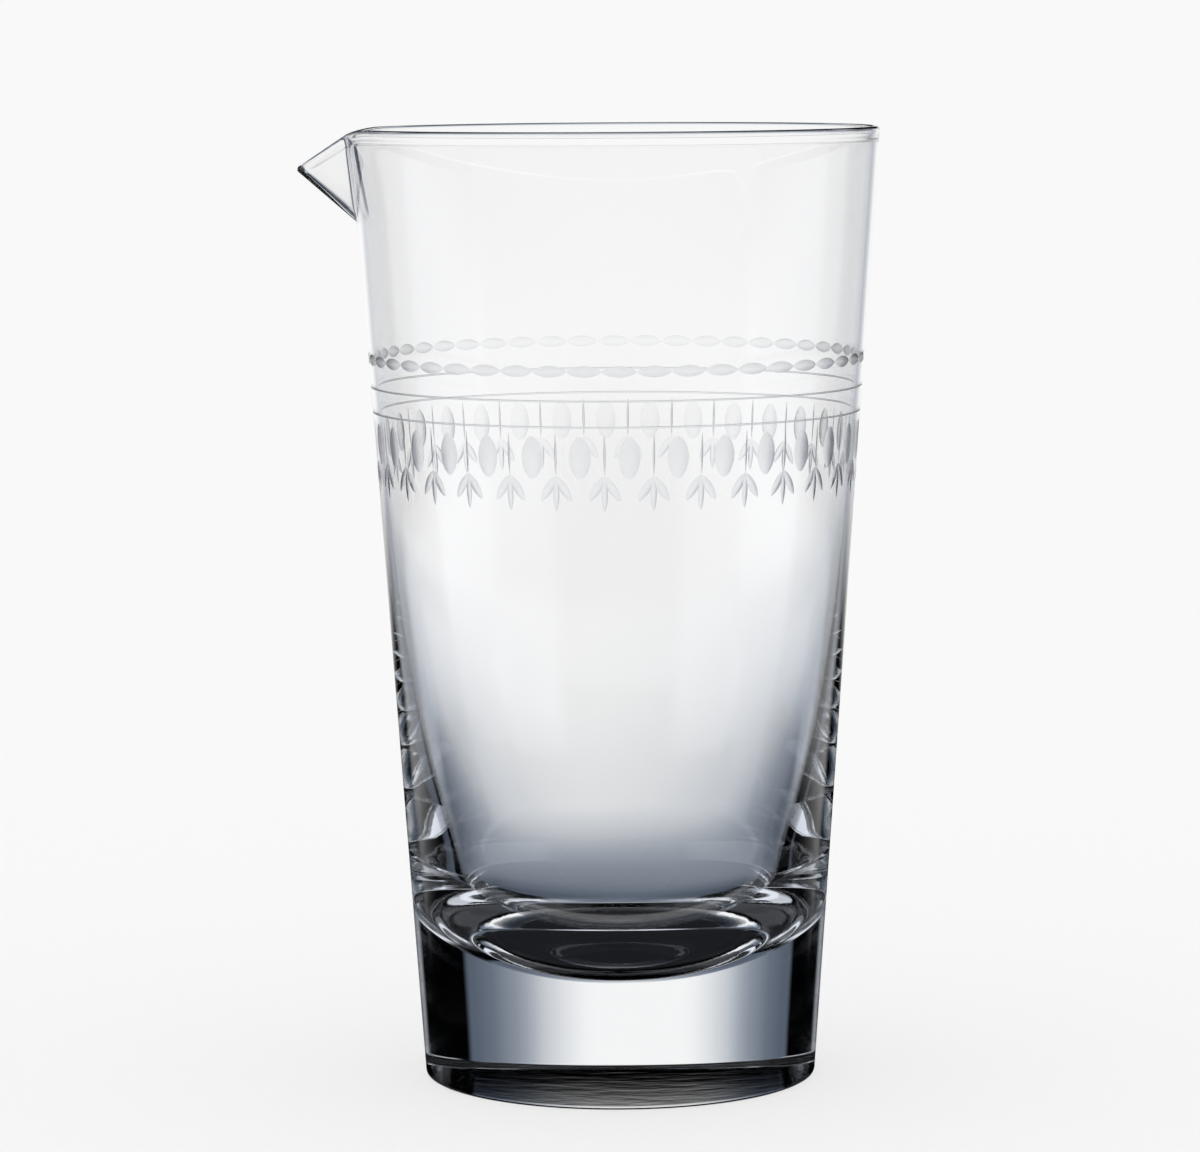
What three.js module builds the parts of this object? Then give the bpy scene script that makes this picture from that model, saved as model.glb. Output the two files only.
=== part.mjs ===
// Cocktail mixing glass: a tall tapered bowl of clear crystal on a heavy solid base, with a fire-polished
// rim and a small pouring lip pulled out of the rim while the glass was hot.
//
// Millimetres, +Z up. The origin is the centre of the foot's underside and the lip points along -X.
// The real glass is one piece. It is divided here on flat planes along the forms the glassmaker gives it:
// the solid base, the blown bowl, the collar with the rim, and the lip. Neighbours meet face to face.
import * as THREE from 'three';
import { mergeVertices } from 'three/addons/utils/BufferGeometryUtils.js';

// Outside of the glass
const HEIGHT = 160;
const RIM_RADIUS = 44.2;
const FOOT_RADIUS = 33;
const FOOT_EDGE_ROUND = 0.8;

// Thickness of the glass
const BASE_THICKNESS = 18.2;
const UPPER_WALL = 1.05;
const RIM_BEAD = 1.25;
const RIM_BEAD_HEIGHT = 2.6;

// Inside of the bowl: the wall is even for this depth below the rim, then thickens along a long curve down to
// the bowl's corner, which starts this far above the floor, where the wall is this thick and leans this much.
const EVEN_WALL_DEPTH = 43.6;
const CORNER_RISE = 18.1;
const CORNER_WALL = 6.8;
const CORNER_LEAN_DEGREES = 14.3;

// How far the curves keep to the line they leave: below the even wall, above and below the start of the
// corner, and along the floor from the axis.
const WALL_EASE = 52.9;
const CORNER_EASE_ABOVE = 13.7;
const CORNER_EASE_BELOW = 9.6;
const BOWL_FLOOR_REACH = 16.6;

// Pouring lip: how far the rim is pulled out and down, how deep below the rim the pull starts, how softly
// it leaves the wall, and half the width of the channel and of the stretch of rim that is drawn along.
const LIP_REACH = 9.4;
const LIP_DROP = 6.4;
const LIP_DEPTH = 16.5;
const LIP_HEEL = 2;
const LIP_CHANNEL_HALF_WIDTH = 5.8;
const LIP_SKIRT_HALF_WIDTH = 18;
const LIP_SKIRT_SHARE = 0.13;

// Where the forms are divided: glass left under the bowl's floor, and wall left under the lip's heel
const BOWL_FLOOR_SKIN = 2;
const COLLAR_MARGIN = 1.5;

// Smoothness of the faceted surfaces
const FACETS_ROUND = 72;
const FOOT_EDGE_STEPS = 5;
const RIM_BEAD_STEPS = 8;
const RIM_BLEND_STEPS = 4;
const WALL_CURVE_STEPS = 10;
const CORNER_CURVE_STEPS = 12;
const LIP_STEPS = 44;
const LIP_ROWS = 9;
const LIP_MIDDLE_CROWDING = 0.4;

const taper = (RIM_RADIUS - FOOT_RADIUS) / HEIGHT;
const baseTop = BASE_THICKNESS - BOWL_FLOOR_SKIN;
const collarFoot = HEIGHT - LIP_DEPTH - COLLAR_MARGIN;
const cornerLean = THREE.MathUtils.degToRad(CORNER_LEAN_DEGREES);
const facetAngle = (2 * Math.PI) / FACETS_ROUND;
const lipFacets = Math.ceil(LIP_SKIRT_HALF_WIDTH / RIM_RADIUS / facetAngle);
const lipHalfAngle = lipFacets * facetAngle;

// Radius of the tapered outside at a height
function outerRadius(height) {
  return FOOT_RADIUS + taper * height;
}

// Point of a section, given by its height and its distance in from the outside
function inside(height, inset) {
  return new THREE.Vector2(outerRadius(height) - inset, height);
}

// Points of an arc that rounds the corner between two straight runs
function roundedCorner(before, corner, after, radius, steps) {
  const back = before.clone().sub(corner).normalize();
  const ahead = after.clone().sub(corner).normalize();
  const halfAngle = Math.acos(back.dot(ahead)) / 2;
  const bisector = back.clone().add(ahead).normalize();
  const centre = corner.clone().addScaledVector(bisector, radius / Math.sin(halfAngle));
  const run = radius / Math.tan(halfAngle);
  const start = corner.clone().addScaledVector(back, run).sub(centre).angle();
  const end = corner.clone().addScaledVector(ahead, run).sub(centre).angle();
  const clockwise = back.cross(ahead) > 0;
  const arc = new THREE.EllipseCurve(centre.x, centre.y, radius, radius, start, end, clockwise);
  return arc.getPoints(steps);
}

// Base: a solid taper whose lower edge is ground and polished round
function baseSection() {
  const axisBelow = new THREE.Vector2(0, 0);
  const topEdge = inside(baseTop, 0);
  const footEdge = roundedCorner(axisBelow, inside(0, 0), topEdge, FOOT_EDGE_ROUND, FOOT_EDGE_STEPS);
  return [axisBelow, ...footEdge, topEdge, new THREE.Vector2(0, baseTop)];
}

// Bowl: straight outside, and an inside that leaves the even wall along a long curve and turns into the floor
// at a wide rounded corner
function bowlSection() {
  const curveTop = HEIGHT - EVEN_WALL_DEPTH;
  const corner = inside(BASE_THICKNESS + CORNER_RISE, CORNER_WALL);
  const upTheWall = new THREE.Vector2(Math.sin(cornerLean), Math.cos(cornerLean));
  const wallCurve = new THREE.CubicBezierCurve(
    inside(curveTop, UPPER_WALL),
    inside(curveTop - WALL_EASE, UPPER_WALL),
    corner.clone().addScaledVector(upTheWall, CORNER_EASE_ABOVE),
    corner,
  );
  const cornerCurve = new THREE.CubicBezierCurve(
    corner,
    corner.clone().addScaledVector(upTheWall, -CORNER_EASE_BELOW),
    new THREE.Vector2(BOWL_FLOOR_REACH, BASE_THICKNESS),
    new THREE.Vector2(0, BASE_THICKNESS),
  );
  return [
    new THREE.Vector2(0, baseTop),
    inside(baseTop, 0),
    inside(collarFoot, 0),
    inside(collarFoot, UPPER_WALL),
    ...wallCurve.getPoints(WALL_CURVE_STEPS),
    ...cornerCurve.getPoints(CORNER_CURVE_STEPS).slice(1),
  ];
}

// Collar: an even wall that ends in a full round bead, swollen inwards by the flame
function collarSection(rows) {
  const half = RIM_BEAD / 2;
  const outerLine = new THREE.LineCurve(inside(collarFoot, 0), inside(HEIGHT - half, 0));
  const innerLine = new THREE.LineCurve(inside(HEIGHT - RIM_BEAD_HEIGHT, UPPER_WALL), inside(collarFoot, UPPER_WALL));
  const blendHeight = HEIGHT - (half + RIM_BEAD_HEIGHT) / 2;
  const blend = new THREE.CubicBezierCurve(
    inside(HEIGHT - half, RIM_BEAD),
    inside(blendHeight, RIM_BEAD),
    inside(blendHeight, UPPER_WALL),
    inside(HEIGHT - RIM_BEAD_HEIGHT, UPPER_WALL),
  );
  const bead = [];
  for (let step = 1; step < RIM_BEAD_STEPS; step += 1) {
    const turn = (Math.PI * step) / RIM_BEAD_STEPS;
    bead.push(inside(HEIGHT - half + half * Math.sin(turn), half - half * Math.cos(turn)));
  }
  return [
    ...outerLine.getPoints(rows),
    ...bead,
    ...blend.getPoints(RIM_BLEND_STEPS),
    ...innerLine.getPoints(rows).slice(1),
  ];
}

// Share of the lip's pull at an angle from its middle: a narrow channel on a wide, shallow skirt
function lipShare(angle) {
  const along = Math.abs(angle) * RIM_RADIUS;
  const hump = (halfWidth) => (along < halfWidth ? Math.cos((Math.PI * along) / (2 * halfWidth)) ** 2 : 0);
  return (1 - LIP_SKIRT_SHARE) * hump(LIP_CHANNEL_HALF_WIDTH) + LIP_SKIRT_SHARE * hump(LIP_SKIRT_HALF_WIDTH);
}

// Share of the lip's pull at a height: nothing below the heel, then a straight run up to the rim
function lipRise(height) {
  const above = Math.max(0, height - HEIGHT + LIP_DEPTH);
  const eased = above < LIP_HEEL ? above ** 2 / (2 * LIP_HEEL) : above - LIP_HEEL / 2;
  return eased / (LIP_DEPTH - LIP_HEEL / 2);
}

// Middle of the wall's thickness once the lip is pulled, at an angle from the lip's middle
function pulledWall(angle, height) {
  const radius = outerRadius(height) - UPPER_WALL / 2;
  const pull = lipShare(angle) * lipRise(height);
  return new THREE.Vector3(
    -radius * Math.cos(angle) - LIP_REACH * pull,
    radius * Math.sin(angle),
    height - LIP_DROP * pull,
  );
}

// A point of the collar's section carried along with the pulled wall, at its own distance from the middle
function pulledPoint(angle, radius, height) {
  const slant = Math.hypot(1, taper);
  const offset = (radius - outerRadius(height) + UPPER_WALL / 2) / slant;
  const level = height + (offset * taper) / slant;
  const probe = 1e-4;
  const across = pulledWall(angle + probe, level).sub(pulledWall(angle - probe, level));
  const upward = pulledWall(angle, level + probe).sub(pulledWall(angle, level - probe));
  const outward = upward.cross(across).normalize();
  return pulledWall(angle, level).addScaledVector(outward, offset);
}

// Section swept through part of a turn: a straight bar of it is bent round the axis, point by point
function sweptSection(section, steps, place) {
  const bar = new THREE.ExtrudeGeometry(new THREE.Shape(section), { depth: 1, steps, bevelEnabled: false });
  const points = bar.attributes.position;
  for (let i = 0; i < points.count; i += 1) {
    const placed = place(points.getX(i), points.getY(i), points.getZ(i));
    points.setXYZ(i, placed.x, placed.y, placed.z);
  }
  return bar;
}

// Closed solid with one vertex at each point, so that the facets share their edges
function closedSolid(geometry) {
  geometry.deleteAttribute('normal');
  geometry.deleteAttribute('uv');
  const solid = mergeVertices(geometry, 1e-4);
  solid.computeVertexNormals();
  return solid;
}

// Section revolved about the vertical axis, with one facet edge in the middle of the lip
function revolved(section) {
  const lathe = new THREE.LatheGeometry(section, FACETS_ROUND, -Math.PI / 2);
  lathe.rotateX(Math.PI / 2);
  return closedSolid(lathe);
}

// The collar goes round from one side of the lip to the other
function collarGeometry() {
  const sweep = 2 * (Math.PI - lipHalfAngle);
  return closedSolid(sweptSection(collarSection(1), FACETS_ROUND - 2 * lipFacets, (radius, height, along) => {
    const angle = lipHalfAngle + sweep * along;
    return new THREE.Vector3(-radius * Math.cos(angle), radius * Math.sin(angle), height);
  }));
}

// The lip closes the collar's gap, with its facets crowded towards the narrow channel
function lipGeometry() {
  return closedSolid(sweptSection(collarSection(LIP_ROWS), LIP_STEPS, (radius, height, along) => {
    const side = 2 * along - 1;
    const angle = lipHalfAngle * side * (LIP_MIDDLE_CROWDING + (1 - LIP_MIDDLE_CROWDING) * side ** 2);
    return pulledPoint(angle, radius, height);
  }));
}

// Clear lead-free crystal, polished all over
function crystal() {
  return new THREE.MeshStandardMaterial({
    color: 0xeef2f4,
    roughness: 0.03,
    metalness: 0,
    transparent: true,
    opacity: 0.35,
  });
}

const glass = new THREE.Group();

function addForm(name, geometry) {
  const form = new THREE.Mesh(geometry, crystal());
  form.name = name;
  glass.add(form);
}

addForm('heavy_base', revolved(baseSection()));
addForm('tapered_bowl', revolved(bowlSection()));
addForm('rim_collar', collarGeometry());
addForm('pouring_lip', lipGeometry());

export default glass;
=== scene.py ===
"""Cocktail mixing glass: one piece of blown crystal with a pulled lip and a wheel-engraved band."""

import math

import bpy
from mathutils import Euler, Matrix, Vector

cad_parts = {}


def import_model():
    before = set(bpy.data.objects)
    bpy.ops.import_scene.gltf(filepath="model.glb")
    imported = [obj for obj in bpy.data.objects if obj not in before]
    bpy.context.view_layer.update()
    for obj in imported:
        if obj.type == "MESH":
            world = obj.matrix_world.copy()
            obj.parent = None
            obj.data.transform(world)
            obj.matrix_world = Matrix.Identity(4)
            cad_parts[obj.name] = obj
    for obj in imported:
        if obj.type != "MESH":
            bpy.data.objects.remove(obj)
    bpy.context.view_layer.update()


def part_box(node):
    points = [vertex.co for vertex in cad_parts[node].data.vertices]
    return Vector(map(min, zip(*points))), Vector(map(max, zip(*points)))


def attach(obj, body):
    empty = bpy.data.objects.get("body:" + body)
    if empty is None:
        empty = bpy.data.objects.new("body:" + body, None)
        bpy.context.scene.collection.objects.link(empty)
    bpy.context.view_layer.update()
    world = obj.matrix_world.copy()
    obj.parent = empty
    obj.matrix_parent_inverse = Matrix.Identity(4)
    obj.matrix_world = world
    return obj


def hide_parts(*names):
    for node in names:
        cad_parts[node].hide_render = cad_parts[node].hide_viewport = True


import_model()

# The glass itself: base, wall, fire-polished rim and lip are one gather of clear crystal, blown in a
# tapered mould and cracked off at the top. This is its section, from the middle of the underside out,
# up the wall, over the rim and down the inside to the middle of the bowl's floor.
MM = 0.001
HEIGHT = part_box("rim_collar")[1].z
RIM_RADIUS = 44.2 * MM
FOOT_RADIUS = 33 * MM
FOOT_EDGE_ROUND = 0.8 * MM
BASE_THICKNESS = 18.2 * MM
UPPER_WALL = 1.05 * MM
RIM_BEAD = 1.25 * MM
RIM_BEAD_HEIGHT = 2.6 * MM
EVEN_WALL_DEPTH = 43.6 * MM
CORNER_RISE = 18.1 * MM
CORNER_WALL = 6.8 * MM
CORNER_LEAN = math.radians(14.3)
WALL_EASE = 52.9 * MM
CORNER_EASE_ABOVE = 13.7 * MM
CORNER_EASE_BELOW = 9.6 * MM
BOWL_FLOOR_REACH = 16.6 * MM
LIP_DEPTH = 16.5 * MM
TAPER = (RIM_RADIUS - FOOT_RADIUS) / HEIGHT
LIP_FOOT = HEIGHT - LIP_DEPTH

FOOT_STEPS = 10
FOOT_EDGE_STEPS = 8
WALL_STEPS = 8
LIP_ROWS = 20
RIM_BEAD_STEPS = 10
RIM_BLEND_STEPS = 6
WALL_CURVE_STEPS = 28
CORNER_STEPS = 28


def outer_radius(height):
    """Radius of the tapered outside at this height."""
    return FOOT_RADIUS + TAPER * height


def on_wall(height, inset):
    """The point of the section that lies so far in from the outer wall."""
    return Vector((outer_radius(height) - inset, 0, height))


def curve(start, first_handle, second_handle, end, steps):
    """Points of a cubic curve after its start, which the run before it already holds."""
    points = []
    for step in range(1, steps + 1):
        share = step / steps
        rest = 1 - share
        points.append(
            start * rest**3
            + first_handle * (3 * rest**2 * share)
            + second_handle * (3 * rest * share**2)
            + end * share**3
        )
    return points


def straight(start, end, steps):
    """Points of a straight run, crowded towards both ends so that shading turns only at the corners."""
    return curve(start, start, end, end, steps)


def round_corner(centre, radius, first_angle, last_angle, steps):
    """Points of an arc after its start, with angles measured up from the outward direction."""
    points = []
    for step in range(1, steps + 1):
        angle = first_angle + (last_angle - first_angle) * step / steps
        points.append(centre + Vector((math.cos(angle), 0, math.sin(angle))) * radius)
    return points


wall_lean = math.atan(TAPER)
foot_centre = Vector((outer_radius(FOOT_EDGE_ROUND), 0, FOOT_EDGE_ROUND))
foot_centre.x -= FOOT_EDGE_ROUND / math.cos(wall_lean)
bead_middle = HEIGHT - RIM_BEAD / 2
bead_foot = HEIGHT - RIM_BEAD_HEIGHT
bead_ease = (bead_middle - bead_foot) / 2
even_wall_foot = HEIGHT - EVEN_WALL_DEPTH
bowl_corner = on_wall(BASE_THICKNESS + CORNER_RISE, CORNER_WALL)
up_the_wall = Vector((math.sin(CORNER_LEAN), 0, math.cos(CORNER_LEAN)))

section = [Vector((0, 0, 0))]
section += straight(section[-1], Vector((foot_centre.x, 0, 0)), FOOT_STEPS)
section += round_corner(foot_centre, FOOT_EDGE_ROUND, -math.pi / 2, -wall_lean, FOOT_EDGE_STEPS)
section += straight(section[-1], on_wall(LIP_FOOT, 0), WALL_STEPS)
section += straight(section[-1], on_wall(bead_middle, 0), LIP_ROWS)
section += round_corner(
    on_wall(bead_middle, RIM_BEAD / 2), RIM_BEAD / 2, 0, math.pi, RIM_BEAD_STEPS
)
section += curve(
    section[-1],
    on_wall(bead_middle - bead_ease, RIM_BEAD),
    on_wall(bead_foot + bead_ease, UPPER_WALL),
    on_wall(bead_foot, UPPER_WALL),
    RIM_BLEND_STEPS,
)
section += straight(section[-1], on_wall(LIP_FOOT, UPPER_WALL), LIP_ROWS)
section += straight(section[-1], on_wall(even_wall_foot, UPPER_WALL), WALL_STEPS)
section += curve(
    section[-1],
    on_wall(even_wall_foot - WALL_EASE, UPPER_WALL),
    bowl_corner + up_the_wall * CORNER_EASE_ABOVE,
    bowl_corner,
    WALL_CURVE_STEPS,
)
section += curve(
    bowl_corner,
    bowl_corner - up_the_wall * CORNER_EASE_BELOW,
    Vector((BOWL_FLOOR_REACH, 0, BASE_THICKNESS)),
    Vector((0, 0, BASE_THICKNESS)),
    CORNER_STEPS,
)

CRYSTAL_INDEX = 1.52
CRYSTAL_TINT = (0.90, 0.94, 0.97, 1)
CRYSTAL_TINT_DENSITY = 3.0
BLOWN_WAVE_SCALE = 70
BLOWN_WAVE_DETAIL = 1
BLOWN_WAVE_STRENGTH = 0.03
BLOWN_WAVE_DEPTH = 0.05 * MM
POLISH_SCALE = 400
POLISH_DETAIL = 3
BEST_POLISH = 0.0
WORST_POLISH = 0.012
GROUND_FOOT_TOP = 0.1 * MM
GROUND_SCALE = 160
GROUND_DETAIL = 3
GROUND_DEPTH = 0.04 * MM
WHITE = (1, 1, 1, 1)


def place(tree, kind, inputs=None, **settings):
    """Adds a node with these settings; an input takes a plain value or another node's output."""
    node = tree.nodes.new(kind)
    for name, value in settings.items():
        setattr(node, name, value)
    for name, value in (inputs or {}).items():
        if isinstance(value, bpy.types.NodeSocket):
            tree.links.new(value, node.inputs[name])
        else:
            node.inputs[name].default_value = value
    return node


def noise(tree, where, scale, detail):
    """A cloudy pattern from 0 to 1, with about this many clouds to a metre."""
    node = place(tree, "ShaderNodeTexNoise", {"Vector": where, "Scale": scale, "Detail": detail})
    return node.outputs["Fac"]


def spread(tree, pattern, lowest, highest):
    """A pattern from 0 to 1, spread between these two values instead."""
    node = place(tree, "ShaderNodeMapRange", {"Value": pattern, "To Min": lowest, "To Max": highest})
    return node.outputs[0]


def clear_glass(tree, roughness, surface):
    """Makes the shader clear crystal of this roughness and bump, with a slight tint in its thickness."""
    shader = tree.nodes["Principled BSDF"]
    shader.inputs["Base Color"].default_value = WHITE
    shader.inputs["Transmission Weight"].default_value = 1
    shader.inputs["IOR"].default_value = CRYSTAL_INDEX
    tree.links.new(roughness, shader.inputs["Roughness"])
    tree.links.new(surface, shader.inputs["Normal"])
    tint = place(
        tree, "ShaderNodeVolumeAbsorption", {"Color": CRYSTAL_TINT, "Density": CRYSTAL_TINT_DENSITY}
    )
    tree.links.new(tint.outputs["Volume"], tree.nodes["Material Output"].inputs["Volume"])


# The clear surface: soft waves from blowing, an uneven polish, and finer waves on the ground underside
crystal = bpy.data.materials.new("clear_crystal")
crystal.use_nodes = True
glass_tree = crystal.node_tree
glass_place = place(glass_tree, "ShaderNodeTexCoord").outputs["Object"]
blown_bump = place(
    glass_tree,
    "ShaderNodeBump",
    {
        "Height": noise(glass_tree, glass_place, BLOWN_WAVE_SCALE, BLOWN_WAVE_DETAIL),
        "Strength": BLOWN_WAVE_STRENGTH,
        "Distance": BLOWN_WAVE_DEPTH,
    },
)
glass_height = place(glass_tree, "ShaderNodeSeparateXYZ", {0: glass_place}).outputs["Z"]
on_foot = place(
    glass_tree, "ShaderNodeMath", {0: glass_height, 1: GROUND_FOOT_TOP}, operation="LESS_THAN"
)
ground_bump = place(
    glass_tree,
    "ShaderNodeBump",
    {
        "Height": noise(glass_tree, glass_place, GROUND_SCALE, GROUND_DETAIL),
        "Strength": on_foot.outputs[0],
        "Distance": GROUND_DEPTH,
        "Normal": blown_bump.outputs["Normal"],
    },
)
polish_marks = noise(glass_tree, glass_place, POLISH_SCALE, POLISH_DETAIL)
polish = spread(glass_tree, polish_marks, BEST_POLISH, WORST_POLISH)
clear_glass(glass_tree, polish, ground_bump.outputs["Normal"])

section_mesh = bpy.data.meshes.new("section")
section_mesh.from_pydata(section, [(row, row + 1) for row in range(len(section) - 1)], [])
mixing_glass = bpy.data.objects.new("mixing_glass", section_mesh)
bpy.context.scene.collection.objects.link(mixing_glass)

# Turning and the lip: the section is turned about the axis, and one edge of the rim is pulled out and
# down into a narrow pouring channel while the glass is soft, so the wall keeps its thickness there.
LIP_REACH = 9.4 * MM
LIP_DROP = 6.4 * MM
LIP_HEEL = 2 * MM
LIP_CHANNEL_HALF_WIDTH = 5.8 * MM
LIP_SKIRT_HALF_WIDTH = 18 * MM
LIP_SKIRT_SHARE = 0.13
SHEET_WIDTH = 2
SHEET_LENGTH = 1
COLUMNS = 400
LIP_CROWDING = 0.35
PROBE = 0.05 * MM
SEAM_WIDTH = 0.001 * MM


class Field:
    """A number that nodes work out for each point, so that the rule of a shape reads as arithmetic."""

    def __init__(self, tree, socket):
        self.tree = tree
        self.socket = socket

    def math(self, operation, *others):
        inputs = {0: self.socket}
        for number, other in enumerate(others, start=1):
            inputs[number] = other.socket if isinstance(other, Field) else other
        node = place(self.tree, "ShaderNodeMath", inputs, operation=operation)
        return Field(self.tree, node.outputs[0])

    def __add__(self, other):
        return self.math("ADD", other)

    def __sub__(self, other):
        return self.math("SUBTRACT", other)

    def __mul__(self, other):
        return self.math("MULTIPLY", other)

    def __truediv__(self, other):
        return self.math("DIVIDE", other)

    def __neg__(self):
        return self.math("MULTIPLY", -1)

    def __abs__(self):
        return self.math("ABSOLUTE")


def named_inputs(tree, sizes):
    """Gives the tree a named input for each size, and returns its geometry and its sizes as fields."""
    tree.interface.new_socket("Geometry", in_out="INPUT", socket_type="NodeSocketGeometry")
    tree.interface.new_socket("Geometry", in_out="OUTPUT", socket_type="NodeSocketGeometry")
    for name, value in sizes.items():
        kind = "NodeSocketInt" if isinstance(value, int) else "NodeSocketFloat"
        tree.interface.new_socket(name, in_out="INPUT", socket_type=kind)
    entry = place(tree, "NodeGroupInput")
    return entry.outputs["Geometry"], {name: Field(tree, entry.outputs[name]) for name in sizes}


def put_on(piece, tree, sizes):
    """Puts the tree on the piece as a modifier, with each size set by its socket's identifier."""
    modifier = piece.modifiers.new(tree.name, "NODES")
    modifier.node_group = tree
    for item in tree.interface.items_tree:
        if item.in_out == "INPUT" and item.name in sizes:
            modifier[item.identifier] = sizes[item.name]


def split(tree, vector):
    """The three parts of a vector, as fields."""
    return [Field(tree, part) for part in place(tree, "ShaderNodeSeparateXYZ", {0: vector}).outputs]


def join(tree, *parts):
    """The vector of three fields."""
    inputs = {number: part.socket for number, part in enumerate(parts)}
    return place(tree, "ShaderNodeCombineXYZ", inputs).outputs[0]


def vector_math(tree, operation, *inputs):
    """The result of a vector operation."""
    return place(tree, "ShaderNodeVectorMath", dict(enumerate(inputs)), operation=operation).outputs[0]


turning_sizes = {
    "Columns": COLUMNS,
    "Height": HEIGHT,
    "Foot Radius": FOOT_RADIUS,
    "Rim Radius": RIM_RADIUS,
    "Upper Wall": UPPER_WALL,
    "Lip Depth": LIP_DEPTH,
    "Lip Reach": LIP_REACH,
    "Lip Drop": LIP_DROP,
    "Lip Heel": LIP_HEEL,
    "Lip Channel Half Width": LIP_CHANNEL_HALF_WIDTH,
    "Lip Skirt Half Width": LIP_SKIRT_HALF_WIDTH,
    "Lip Skirt Share": LIP_SKIRT_SHARE,
}
turning = bpy.data.node_groups.new("turned_and_lipped", "GeometryNodeTree")
section_line, size = named_inputs(turning, turning_sizes)
taper = (size["Rim Radius"] - size["Foot Radius"]) / size["Height"]
lip_foot = size["Height"] - size["Lip Depth"]


def hump(along, half_width):
    """A rounded bump: 1 in the middle, nothing from half_width outwards."""
    wave = ((along / half_width).math("MINIMUM", 1) * (math.pi / 2)).math("COSINE")
    return wave * wave


def pulled_wall(angle, height):
    """The middle of the wall's thickness at this angle from the lip, once the lip is pulled."""
    along = abs(angle) * size["Rim Radius"]
    skirt = hump(along, size["Lip Skirt Half Width"]) * size["Lip Skirt Share"]
    channel_share = -size["Lip Skirt Share"] + 1
    share = hump(along, size["Lip Channel Half Width"]) * channel_share + skirt
    above = (height - lip_foot).math("MAXIMUM", 0)
    in_heel = above.math("MINIMUM", size["Lip Heel"])
    risen = in_heel * in_heel / (size["Lip Heel"] * 2) + above - in_heel
    pull = share * risen / (size["Lip Depth"] - size["Lip Heel"] / 2)
    radius = size["Foot Radius"] + taper * height - size["Upper Wall"] / 2
    return join(
        turning,
        -(radius * angle.math("COSINE")) - size["Lip Reach"] * pull,
        radius * angle.math("SINE"),
        height - size["Lip Drop"] * pull,
    )


# A flat sheet, once round from side to side, takes one row of points from each point of the section.
section_rows = place(turning, "GeometryNodeAttributeDomainSize", {0: section_line}).outputs["Point Count"]
sheet = place(
    turning,
    "GeometryNodeMeshGrid",
    {
        "Size X": SHEET_WIDTH,
        "Size Y": SHEET_LENGTH,
        "Vertices X": (size["Columns"] + 1).socket,
        "Vertices Y": section_rows,
    },
)
position = place(turning, "GeometryNodeInputPosition").outputs[0]
way_round, way_along, _ = split(turning, position)
row = (way_along + SHEET_LENGTH / 2) * (Field(turning, section_rows) - 1)
row_number = place(turning, "FunctionNodeFloatToInt", {0: row.socket}, rounding_mode="ROUND").outputs[0]
section_point = place(
    turning,
    "GeometryNodeSampleIndex",
    {"Geometry": section_line, "Value": position, "Index": row_number},
    data_type="FLOAT_VECTOR",
).outputs[0]
radius, _, height = split(turning, section_point)
angle = way_round * (way_round * way_round * (1 - LIP_CROWDING) + LIP_CROWDING) * -math.pi
plain_point = join(turning, -(radius * angle.math("COSINE")), radius * angle.math("SINE"), height)

# Above the lip's foot, each point keeps its own distance from the middle of the pulled wall.
slant = (taper * taper + 1).math("SQRT")
offset = (radius - size["Foot Radius"] - taper * height + size["Upper Wall"] / 2) / slant
level = height + offset * taper / slant
wall_point = pulled_wall(angle, level)
across = vector_math(
    turning, "SUBTRACT", pulled_wall(angle + PROBE / RIM_RADIUS, level), wall_point
)
upward = vector_math(turning, "SUBTRACT", pulled_wall(angle, level + PROBE), wall_point)
outward = vector_math(turning, "NORMALIZE", vector_math(turning, "CROSS_PRODUCT", upward, across))
thickness_step = place(
    turning, "ShaderNodeVectorMath", {0: outward, "Scale": offset.socket}, operation="SCALE"
).outputs[0]
lip_point = vector_math(turning, "ADD", wall_point, thickness_step)
turned_point = place(
    turning,
    "GeometryNodeSwitch",
    {
        "Switch": height.math("GREATER_THAN", lip_foot).socket,
        "False": plain_point,
        "True": lip_point,
    },
    input_type="VECTOR",
).outputs[0]
turned = place(
    turning, "GeometryNodeSetPosition", {"Geometry": sheet.outputs["Mesh"], "Position": turned_point}
)
closed = place(
    turning, "GeometryNodeMergeByDistance", {"Geometry": turned.outputs[0], "Distance": SEAM_WIDTH}
)
smooth = place(turning, "GeometryNodeSetShadeSmooth", {"Geometry": closed.outputs[0]})
whole = place(turning, "GeometryNodeRealizeInstances", {"Geometry": smooth.outputs[0]})
clear = place(turning, "GeometryNodeSetMaterial", {"Geometry": whole.outputs[0], "Material": crystal})
place(turning, "NodeGroupOutput", {"Geometry": clear.outputs[0]})
put_on(mixing_glass, turning, turning_sizes)

# The engraved band: rows of shallow cuts that a turning stone wheel grinds into the cold wall, left
# frosted. A row of beads, two ring lines, then ovals between stems that end in three leaves.
BAND_HEIGHT = 112 * MM
BEADS = 46
BEAD_HEIGHT = 121.8 * MM
BEAD_LENGTH = 5.7 * MM
BEAD_WIDTH = 1.9 * MM
BEAD_DEPTH = 0.14 * MM
BEAD_POINT = 0.6
BEAD_START = math.radians(0.4)
RING_HEIGHTS = (117.0 * MM, 112.8 * MM)
RING_EDGE = 0.25 * MM
RING_DEPTH = 0.05 * MM
REPEATS = 32
OVAL_START = math.radians(2.6)
OVAL_HEIGHT = 107.9 * MM
OVAL_LENGTH = 7.0 * MM
OVAL_WIDTH = 3.65 * MM
OVAL_DEPTH = 0.22 * MM
OVAL_POINT = 0.3
STEM_TOP = 112.1 * MM
STEM_FOOT = 104.8 * MM
STEM_WIDTH = 0.36 * MM
STEM_DEPTH = 0.1 * MM
LEAF_POINT = 0.7
LEAF_DEPTH = 0.12 * MM
SPRIG_HEIGHT = 105 * MM
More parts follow.
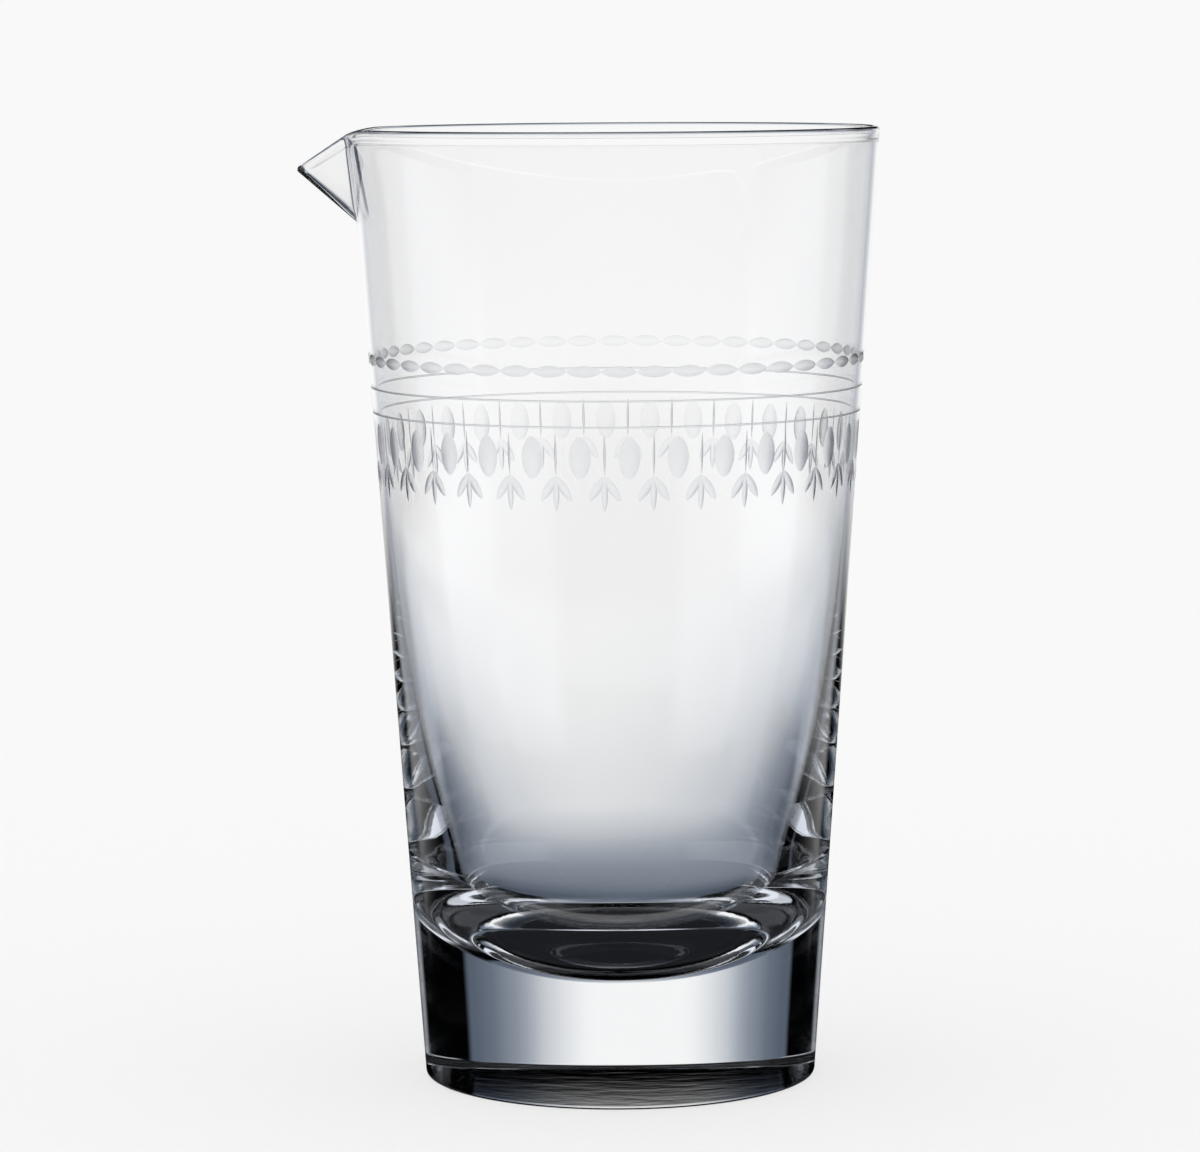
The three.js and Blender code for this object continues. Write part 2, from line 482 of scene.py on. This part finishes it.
MIDDLE_LEAF_LENGTH = 5.9 * MM
MIDDLE_LEAF_WIDTH = 1.05 * MM
SIDE_LEAF_LENGTH = 5.0 * MM
SIDE_LEAF_WIDTH = 1.5 * MM
SIDE_LEAF_SPREAD = math.radians(32)
CUT_SEGMENTS = 20
CUT_RINGS = 8
CUT_REACH = 1.12
CUT_LID = 1.8
RING_SEGMENTS = 240
RING_EDGE_SEGMENTS = 12

FROST_COARSEST = 0.37
FROST_FINEST = 0.24
FROST_SCALE = 1800
FROST_DETAIL = 4
GRIND_SCALE = 5200
GRIND_DETAIL = 5
GRIND_STRENGTH = 0.35
GRIND_DEPTH = 0.03 * MM

frost = bpy.data.materials.new("wheel_frosted_crystal")
frost.use_nodes = True
frost_tree = frost.node_tree
frost_place = place(frost_tree, "ShaderNodeTexCoord").outputs["Object"]
frost_patches = noise(frost_tree, frost_place, FROST_SCALE, FROST_DETAIL)
frost_roughness = spread(frost_tree, frost_patches, FROST_FINEST, FROST_COARSEST)
grind_bump = place(
    frost_tree,
    "ShaderNodeBump",
    {
        "Height": noise(frost_tree, frost_place, GRIND_SCALE, GRIND_DETAIL),
        "Strength": GRIND_STRENGTH,
        "Distance": GRIND_DEPTH,
    },
)
clear_glass(frost_tree, frost_roughness, grind_bump.outputs["Normal"])

engraving_sizes = {
    "Foot Radius": FOOT_RADIUS,
    "Taper": TAPER,
    "Band Radius": outer_radius(BAND_HEIGHT),
    "Bead Length": BEAD_LENGTH,
    "Bead Width": BEAD_WIDTH,
    "Bead Depth": BEAD_DEPTH,
    "Oval Length": OVAL_LENGTH,
    "Oval Width": OVAL_WIDTH,
    "Oval Depth": OVAL_DEPTH,
    "Stem Length": STEM_TOP - STEM_FOOT,
    "Stem Width": STEM_WIDTH,
    "Stem Depth": STEM_DEPTH,
    "Leaf Depth": LEAF_DEPTH,
    "Middle Leaf Length": MIDDLE_LEAF_LENGTH,
    "Middle Leaf Width": MIDDLE_LEAF_WIDTH,
    "Side Leaf Length": SIDE_LEAF_LENGTH,
    "Side Leaf Width": SIDE_LEAF_WIDTH,
}
engraving = bpy.data.node_groups.new("wheel_engraving", "GeometryNodeTree")
plain_glass, cut_size = named_inputs(engraving, engraving_sizes)
cut_position = place(engraving, "GeometryNodeInputPosition").outputs[0]


def wheel_cut(name, point, depth_name=None):
    """One cut: a boat-shaped hollow, more pointed as point nears 1, under a lid clear of the wall."""
    ball = place(
        engraving, "GeometryNodeMeshUVSphere", {"Segments": CUT_SEGMENTS, "Rings": CUT_RINGS, "Radius": 1}
    )
    ball_across, ball_along, ball_out = split(engraving, cut_position)
    across = ball_across * CUT_REACH
    along = ball_along * CUT_REACH
    along_squared = along * along
    hollow = across * across / (along_squared * -point + 1) + along_squared - 1
    lid = ball_out.math("MAXIMUM", 0) * CUT_LID
    shape = join(
        engraving,
        across * cut_size[name + " Width"] / 2,
        along * cut_size[name + " Length"] / 2,
        (hollow + lid) * cut_size[depth_name or name + " Depth"],
    )
    return place(
        engraving, "GeometryNodeSetPosition", {"Geometry": ball.outputs["Mesh"], "Position": shape}
    ).outputs[0]


def wrapped_row(cut, count, start_angle, height, shift=(0, 0, 0), turn=0):
    """Cuts evenly spaced along a flat strip, which is then wrapped round the tapered wall."""
    laid = place(
        engraving,
        "GeometryNodeTransform",
        {"Geometry": cut, "Translation": shift, "Rotation": Euler((0, 0, turn))},
    ).outputs[0]
    pitch = cut_size["Band Radius"] * (2 * math.pi / count)
    nothing = pitch * 0
    strip = place(
        engraving,
        "GeometryNodeMeshLine",
        {
            "Count": count,
            "Start Location": join(
                engraving, cut_size["Band Radius"] * start_angle, nothing + height, nothing
            ),
            "Offset": join(engraving, pitch, nothing, nothing),
        },
    ).outputs[0]
    cuts = place(engraving, "GeometryNodeInstanceOnPoints", {"Points": strip, "Instance": laid}).outputs[0]
    real = place(engraving, "GeometryNodeRealizeInstances", {"Geometry": cuts}).outputs[0]
    along, up, out = split(engraving, cut_position)
    round_angle = along / cut_size["Band Radius"]
    out_to = cut_size["Foot Radius"] + cut_size["Taper"] * up + out
    wrapped = join(
        engraving, out_to * round_angle.math("SINE"), -(out_to * round_angle.math("COSINE")), up
    )
    return place(
        engraving, "GeometryNodeSetPosition", {"Geometry": real, "Position": wrapped}
    ).outputs[0]


def ring_line(height):
    """A fine groove right round the wall, as the round edge of the wheel leaves it."""
    path = place(
        engraving,
        "GeometryNodeCurvePrimitiveCircle",
        {"Resolution": RING_SEGMENTS, "Radius": outer_radius(height) + RING_EDGE - RING_DEPTH},
    ).outputs[0]
    edge = place(
        engraving,
        "GeometryNodeCurvePrimitiveCircle",
        {"Resolution": RING_EDGE_SEGMENTS, "Radius": RING_EDGE},
    ).outputs[0]
    groove = place(
        engraving, "GeometryNodeCurveToMesh", {"Curve": path, "Profile Curve": edge}
    ).outputs[0]
    return place(
        engraving, "GeometryNodeTransform", {"Geometry": groove, "Translation": (0, 0, height)}
    ).outputs[0]


bead = wheel_cut("Bead", BEAD_POINT)
bead_step = 2 * math.pi / BEADS
oval = wheel_cut("Oval", OVAL_POINT)
stem = wheel_cut("Stem", LEAF_POINT)
middle_leaf = wheel_cut("Middle Leaf", LEAF_POINT, "Leaf Depth")
side_leaf = wheel_cut("Side Leaf", LEAF_POINT, "Leaf Depth")
sprig_start = OVAL_START - math.pi / REPEATS
side_leaf_out = math.sin(SIDE_LEAF_SPREAD) * SIDE_LEAF_LENGTH / 2
side_leaf_down = math.cos(SIDE_LEAF_SPREAD) * SIDE_LEAF_LENGTH / 2
# Neighbouring beads run into each other, so each of their two rows takes every second bead.
cutters = [
    wrapped_row(bead, BEADS // 2, BEAD_START, BEAD_HEIGHT, turn=math.pi / 2),
    wrapped_row(bead, BEADS // 2, BEAD_START + bead_step, BEAD_HEIGHT, turn=math.pi / 2),
    wrapped_row(oval, REPEATS, OVAL_START, OVAL_HEIGHT),
    wrapped_row(stem, REPEATS, sprig_start, (STEM_TOP + STEM_FOOT) / 2),
    wrapped_row(middle_leaf, REPEATS, sprig_start, SPRIG_HEIGHT - MIDDLE_LEAF_LENGTH / 2),
]
for side in (-1, 1):
    cutters.append(
        wrapped_row(
            side_leaf,
            REPEATS,
            sprig_start,
            SPRIG_HEIGHT,
            shift=(side * side_leaf_out, -side_leaf_down, 0),
            turn=side * SIDE_LEAF_SPREAD,
        )
    )
for ring_height in RING_HEIGHTS:
    cutters.append(ring_line(ring_height))

# The cuts are taken out of the wall, and their faces keep a mark that gives them the frosted finish.
grinding = place(
    engraving, "GeometryNodeMeshBoolean", {"Mesh 1": plain_glass}, solver="MANIFOLD", operation="DIFFERENCE"
)
for cutter in cutters:
    marked = place(
        engraving,
        "GeometryNodeStoreNamedAttribute",
        {"Geometry": cutter, "Name": "ground", "Value": True},
        data_type="BOOLEAN",
        domain="FACE",
    )
    engraving.links.new(marked.outputs[0], grinding.inputs["Mesh 2"])
engraved = place(engraving, "GeometryNodeRealizeInstances", {"Geometry": grinding.outputs["Mesh"]})
ground_faces = place(
    engraving, "GeometryNodeInputNamedAttribute", {"Name": "ground"}, data_type="BOOLEAN"
)
frosted = place(
    engraving,
    "GeometryNodeSetMaterial",
    {
        "Geometry": engraved.outputs[0],
        "Selection": ground_faces.outputs["Attribute"],
        "Material": frost,
    },
)
place(engraving, "NodeGroupOutput", {"Geometry": frosted.outputs[0]})
put_on(mixing_glass, engraving, engraving_sizes)

# The finished mesh; the sheet's own material slot is empty and goes.
bpy.context.view_layer.update()
finished = bpy.data.meshes.new_from_object(
    mixing_glass.evaluated_get(bpy.context.evaluated_depsgraph_get())
)
mixing_glass.modifiers.clear()
mixing_glass.data = finished
finished.name = "mixing_glass"
finished.materials.pop(index=0)

# The polished wall keeps the even shine of a true cone between the cuts, and each cut keeps a crisp edge.
WALL_TOLERANCE = 0.02 * MM
wall_foot = foot_centre.z
ground_edges = {}
for face in finished.polygons:
    for key in face.edge_keys:
        ground_edges.setdefault(key, set()).add(face.material_index)
for edge in finished.edges:
    edge.use_edge_sharp = len(ground_edges[edge.key]) > 1
shine = []
for face in finished.polygons:
    for number in face.vertices:
        point = finished.vertices[number].co
        straight_wall = wall_foot < point.z < LIP_FOOT and face.material_index == 0
        reach = math.hypot(point.x, point.y)
        if straight_wall and abs(reach - outer_radius(point.z)) < WALL_TOLERANCE:
            shine.append(Vector((point.x, point.y, -TAPER * reach)).normalized())
        else:
            shine.append(Vector((0, 0, 0)))
finished.normals_split_custom_set(shine)

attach(mixing_glass, "root")
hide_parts("heavy_base", "tapered_bowl", "rim_collar", "pouring_lip")

# The floor: a wide pale sweep of paper that the glass stands on. Some light comes through the paper too, so
# the camera sees only a soft shadow of the glass on it. The glass itself shows the studio and not the paper.
FLOOR_HALF_WIDTH = 60
PALE = (0.947, 0.947, 0.947, 1)
PAPER_GLOW = 0.5

floor_mesh = bpy.data.meshes.new("paper_floor")
floor_mesh.from_pydata(
    [
        (-FLOOR_HALF_WIDTH, -FLOOR_HALF_WIDTH, 0),
        (FLOOR_HALF_WIDTH, -FLOOR_HALF_WIDTH, 0),
        (FLOOR_HALF_WIDTH, FLOOR_HALF_WIDTH, 0),
        (-FLOOR_HALF_WIDTH, FLOOR_HALF_WIDTH, 0),
    ],
    [],
    [(0, 1, 2, 3)],
)
paper_floor = bpy.data.objects.new("paper_floor", floor_mesh)
bpy.context.scene.collection.objects.link(paper_floor)
paper = bpy.data.materials.new("pale_paper")
paper.use_nodes = True
paper_shader = paper.node_tree.nodes["Principled BSDF"]
paper_shader.inputs["Base Color"].default_value = PALE
paper_shader.inputs["Roughness"].default_value = 1
paper_shader.inputs["Specular IOR Level"].default_value = 0
paper_glow = place(paper.node_tree, "ShaderNodeEmission", {"Color": PALE, "Strength": 1})
from_camera = place(paper.node_tree, "ShaderNodeLightPath").outputs["Is Camera Ray"]
paper_seen = place(
    paper.node_tree, "ShaderNodeMath", {0: from_camera, 1: PAPER_GLOW}, operation="MULTIPLY"
)
paper_mix = place(
    paper.node_tree,
    "ShaderNodeMixShader",
    {0: paper_seen.outputs[0], 1: paper_shader.outputs[0], 2: paper_glow.outputs[0]},
)
paper.node_tree.links.new(
    paper_mix.outputs[0], paper.node_tree.nodes["Material Output"].inputs["Surface"]
)
floor_mesh.materials.append(paper)
paper_floor.visible_glossy = False
paper_floor.visible_transmission = False

# Painted shade under the foot: a near-black sheet just below the paper stands in for the glass's shadow
# there, so next to no light comes from it.
# Only the glass shows it, as the dark floor of the bowl.
SHADE_RADIUS = foot_centre.x
SHADE_DROP = 0.2 * MM
SHADE_CORNERS = 64
SHADE_COLOUR = (0.012, 0.013, 0.016, 1)

shade_corners = []
for corner in range(SHADE_CORNERS):
    turn = 2 * math.pi * corner / SHADE_CORNERS
    shade_corners.append((SHADE_RADIUS * math.cos(turn), SHADE_RADIUS * math.sin(turn), -SHADE_DROP))
shade_mesh = bpy.data.meshes.new("foot_shade")
shade_mesh.from_pydata(shade_corners, [], [range(SHADE_CORNERS)])
foot_shade = bpy.data.objects.new("foot_shade", shade_mesh)
bpy.context.scene.collection.objects.link(foot_shade)
# Its material is painted shade: a fixed near-black glow, not paper.
shade = bpy.data.materials.new("painted_foot_shade")
shade.use_nodes = True
shade.node_tree.nodes.clear()
shade_light = place(shade.node_tree, "ShaderNodeEmission", {"Color": SHADE_COLOUR, "Strength": 1})
place(shade.node_tree, "ShaderNodeOutputMaterial", {"Surface": shade_light.outputs[0]})
shade_mesh.materials.append(shade)
foot_shade.visible_camera = False
foot_shade.visible_diffuse = False
foot_shade.visible_shadow = False

# The studio round it: plain even light all about. Only the glass shows the room that follows, in which a
# height is in degrees above the horizon, a turn is in degrees from straight behind the glass, and a pair
# of them is where a soft step starts and ends.
DEGREES = math.degrees(1)

world = bpy.data.worlds.new("studio")
world.use_nodes = True
bpy.context.scene.world = world
studio = world.node_tree
studio.nodes.clear()
look = place(studio, "ShaderNodeTexCoord").outputs["Generated"]
look_x, look_y, look_z = split(studio, look)
elevation = look_z.math("ARCSINE") * DEGREES
sideways = look_x.math("ARCTAN2", look_y) * DEGREES
off_axis = abs(sideways)


def past(field, limits):
    """0 up to the first limit, 1 from the second, with a soft step between."""
    node = place(
        studio,
        "ShaderNodeMapRange",
        {"Value": field.socket, "From Min": limits[0], "From Max": limits[1]},
        interpolation_type="SMOOTHSTEP",
    )
    return Field(studio, node.outputs[0])


def before(field, limits):
    """1 up to the first limit, 0 from the second, with a soft step between."""
    return -past(field, limits) + 1


def grey(level):
    """The colour of a level of grey."""
    return join(studio, level, level, level)


# The panel: a bright sheet behind the glass, its middle a little to the left. It is even in the middle and
# fades to the sides and down, into blue because each colour takes its own power of the light. Past its
# edges hang dark drapes, which show next to none of that light.
PANEL_TURN = 3.5
PANEL_LOW_TURN = 1
PANEL_FLAT = 5
PANEL_FADE = 14
PANEL_LOW_FADE = 12
PANEL_NARROWS = (-10, -7)
PANEL_SINKS = -1
PANEL_DEPTH = 27
PANEL_TOP = (5.2, 13.2)
PANEL_EDGE_TURN = 4
PANEL_EDGE = 41.6
PANEL_LOW_EDGE = 31
PANEL_EDGE_NARROWS = (-13, -9)
PANEL_EDGE_SOFTNESS = 1.5
PANEL_ROUNDNESS = 1.45
# How bright the panel is at so many fades out from its middle, and the power of that light in each colour
PANEL_REACH = 2.5
PANEL_LIGHT = (
    (0.35, 1.0),
    (0.50, 0.96),
    (0.60, 0.90),
    (0.75, 0.82),
    (0.86, 0.74),
    (0.96, 0.69),
    (1.07, 0.61),
    (1.20, 0.49),
    (1.32, 0.40),
    (1.50, 0.31),
    (1.65, 0.265),
    (1.95, 0.18),
    (2.40, 0.13),
)
PANEL_TINT = (1.10, 1.0, 0.86)
DRAPE_GREY = 0.003

high = past(elevation, PANEL_NARROWS)
panel_turn = high * (PANEL_TURN - PANEL_LOW_TURN) + PANEL_LOW_TURN
panel_fade = high * (PANEL_FADE - PANEL_LOW_FADE) + PANEL_LOW_FADE
across_panel = (abs(sideways + panel_turn) - high * PANEL_FLAT).math("MAXIMUM", 0) / panel_fade
down_panel = (-elevation + PANEL_SINKS).math("MAXIMUM", 0) / PANEL_DEPTH
out_powers = across_panel.math("POWER", PANEL_ROUNDNESS) + down_panel.math("POWER", PANEL_ROUNDNESS)
out_from_middle = out_powers.math("POWER", 1 / PANEL_ROUNDNESS)
panel_ramp = place(studio, "ShaderNodeValToRGB", {"Fac": (out_from_middle / PANEL_REACH).socket})
stops = panel_ramp.color_ramp.elements
while len(stops) < len(PANEL_LIGHT):
    stops.new(1)
for stop, (distance, level) in zip(stops, PANEL_LIGHT):
    stop.position = distance / PANEL_REACH
    stop.color = (*(level**power for power in PANEL_TINT), 1)
panel_edge = past(elevation, PANEL_EDGE_NARROWS) * (PANEL_EDGE - PANEL_LOW_EDGE) + PANEL_LOW_EDGE
past_edge = abs(sideways + PANEL_EDGE_TURN) - panel_edge
on_panel = before(past_edge, (-PANEL_EDGE_SOFTNESS, PANEL_EDGE_SOFTNESS))
on_backdrop = (on_panel + DRAPE_GREY) * before(elevation, PANEL_TOP)
backdrop = vector_math(studio, "MULTIPLY", panel_ramp.outputs["Color"], grey(on_backdrop))

# The room: a pale floor that starts under the drapes' hem, darkens towards the glass in painted shade that
# stands in for the glass's own shadow on it, and is pale again where it is looked at from above, a pale wall
# over and past the drapes that dims at the front, and a faint upper room.
DRAPE_HEM = (-14, -11)
DRAPE_TOP = (-1, 0.5)
DRAPE_INNER = (40, 48)
DRAPE_OUTER = (68, 76)
FLOOR_DARKENS = (-35, -27)
FLOOR_SIDE_STARTS = (50, 58)
FLOOR_SIDE_ENDS = (106, 118)
FLOOR_SIDE_RISE = 7
FLOOR_FAR = 0.9
FLOOR_NEAR = 0.03
FLOOR_STEEP = (-74, -64)
FLOOR_STEEP_PALE = 0.8
FLOOR_FRONT = (142, 154)
FLOOR_FRONT_DIMS = 0.9
WALL_TOP = (3, 5.5)
WALL_PALE = 0.65
ROOM_STARTS = (106, 118)
ROOM_DIMS = 0.7
ROOM_HEM_RISE = 7
UPPER_FOOT = (13, 19)
UPPER_PALE = 0.07
UPPER_FRONT = (140, 150)
UPPER_FRONT_DIMS = 0.05
ROOM_TINT = (0.93, 0.97, 1.06)

# Painted shade: the floor that the glass shows darkens towards the glass, as its shadow would, and beside it
# the darkening starts higher.
beside_floor = past(off_axis, FLOOR_SIDE_STARTS) * before(off_axis, FLOOR_SIDE_ENDS)
floor_near = past(elevation - beside_floor * FLOOR_SIDE_RISE, FLOOR_DARKENS)
floor_front = past(off_axis, FLOOR_FRONT) * before(elevation, DRAPE_HEM) * -FLOOR_FRONT_DIMS + 1
in_room = past(off_axis, ROOM_STARTS)
over_hem = past(elevation - in_room * ROOM_HEM_RISE, DRAPE_HEM)
past_panel = past(off_axis, DRAPE_INNER)
floor_pale = (floor_near * (FLOOR_FAR - FLOOR_NEAR) + FLOOR_NEAR) * floor_front
open_floor = floor_pale * past_panel * (-over_hem + 1)
steep_floor = before(elevation, FLOOR_STEEP) * FLOOR_STEEP_PALE
over_drape = past_panel * past(elevation, DRAPE_TOP)
wall_shows = past(off_axis, DRAPE_OUTER).math("MAXIMUM", over_drape) * over_hem
pale_wall = wall_shows * before(elevation, WALL_TOP) * (in_room * -ROOM_DIMS + 1) * WALL_PALE
upper_pale = (in_room * -UPPER_FRONT_DIMS + UPPER_PALE) * before(off_axis, UPPER_FRONT)
upper_room = upper_pale * past(elevation, UPPER_FOOT) * past_panel
room_pale = open_floor + steep_floor + pale_wall + upper_room
rest_of_room = vector_math(studio, "MULTIPLY", grey(room_pale), ROOM_TINT)
seen_through = vector_math(studio, "ADD", backdrop, rest_of_room)

# The mirrored room: the outside of the glass mirrors a pale band along the horizon, which starts higher
# behind the glass and is dimmer away from there.
MIRROR_FOOT = (-13.6, -11.2)
MIRROR_FOOT_RISES = (25, 45)
MIRROR_RISE = 4.8
MIRROR_TOP = (2, 8)
MIRROR_PALE = 0.95
MIRROR_SIDE = (45, 78)
MIRROR_SIDE_FOOT = (-11.5, -8.5)
MIRROR_SIDE_DIMS = 0.5

mirror_side = past(off_axis, MIRROR_SIDE) * past(elevation, MIRROR_SIDE_FOOT)
mirror_foot = past(elevation - before(off_axis, MIRROR_FOOT_RISES) * MIRROR_RISE, MIRROR_FOOT)
mirror_pale = mirror_side * -MIRROR_SIDE_DIMS + MIRROR_PALE
mirrored = grey(mirror_foot * before(elevation, MIRROR_TOP) * mirror_pale)

# What each ray meets: the camera sees a pale sheet, the paper gets even light and the glass shows the room.
# Light is followed through this many turns, because the thick glass throws it to and fro.
LIGHT_BOUNCES = 32

light_path = place(studio, "ShaderNodeLightPath").outputs
even_light = place(studio, "ShaderNodeBackground", {"Color": WHITE, "Strength": 1})
pale_sheet = place(studio, "ShaderNodeBackground", {"Color": PALE, "Strength": 1})
seen_in_glass = place(
    studio,
    "ShaderNodeMix",
    {"Factor": light_path["Is Transmission Ray"], "A": mirrored, "B": seen_through},
    data_type="VECTOR",
).outputs["Result"]
glass_view = place(studio, "ShaderNodeBackground", {"Color": seen_in_glass, "Strength": 1})
glass_ray = Field(studio, light_path["Is Glossy Ray"]).math(
    "MAXIMUM", Field(studio, light_path["Is Transmission Ray"])
)
before_paper = Field(studio, light_path["Diffuse Depth"]).math("LESS_THAN", 1)
not_camera = place(
    studio,
    "ShaderNodeMixShader",
    {0: (glass_ray * before_paper).socket, 1: even_light.outputs[0], 2: glass_view.outputs[0]},
)
all_rays = place(
    studio,
    "ShaderNodeMixShader",
    {0: light_path["Is Camera Ray"], 1: not_camera.outputs[0], 2: pale_sheet.outputs[0]},
)
place(studio, "ShaderNodeOutputWorld", {"Surface": all_rays.outputs[0]})
bpy.context.scene.cycles.max_bounces = LIGHT_BOUNCES
bpy.context.scene.cycles.glossy_bounces = LIGHT_BOUNCES
bpy.context.scene.cycles.transmission_bounces = LIGHT_BOUNCES

# The camera: a long lens a little under a metre off, just above the rim and tipped down a few degrees, with
# its focal length given in pixels of the photograph's width.
CAMERA_PLACE = Vector((-2.963, -845.0, 175.8)) * MM
CAMERA_TILT = math.radians(6.1615)
CAMERA_ROLL = math.radians(-0.354)
SENSOR_WIDTH = 36
FOCAL_PIXELS = 5040.7
PICTURE_WIDTH = 1200

camera_data = bpy.data.cameras.new("camera")
camera_data.sensor_width = SENSOR_WIDTH
camera_data.lens = SENSOR_WIDTH * FOCAL_PIXELS / PICTURE_WIDTH
camera_data.clip_end = 2 * FLOOR_HALF_WIDTH
camera = bpy.data.objects.new("camera", camera_data)
bpy.context.scene.collection.objects.link(camera)
camera.matrix_world = (
    Matrix.Translation(CAMERA_PLACE)
    @ Matrix.Rotation(math.pi / 2 - CAMERA_TILT, 4, "X")
    @ Matrix.Rotation(CAMERA_ROLL, 4, "Z")
)
bpy.context.scene.camera = camera
bpy.context.scene.view_settings.view_transform = "Standard"
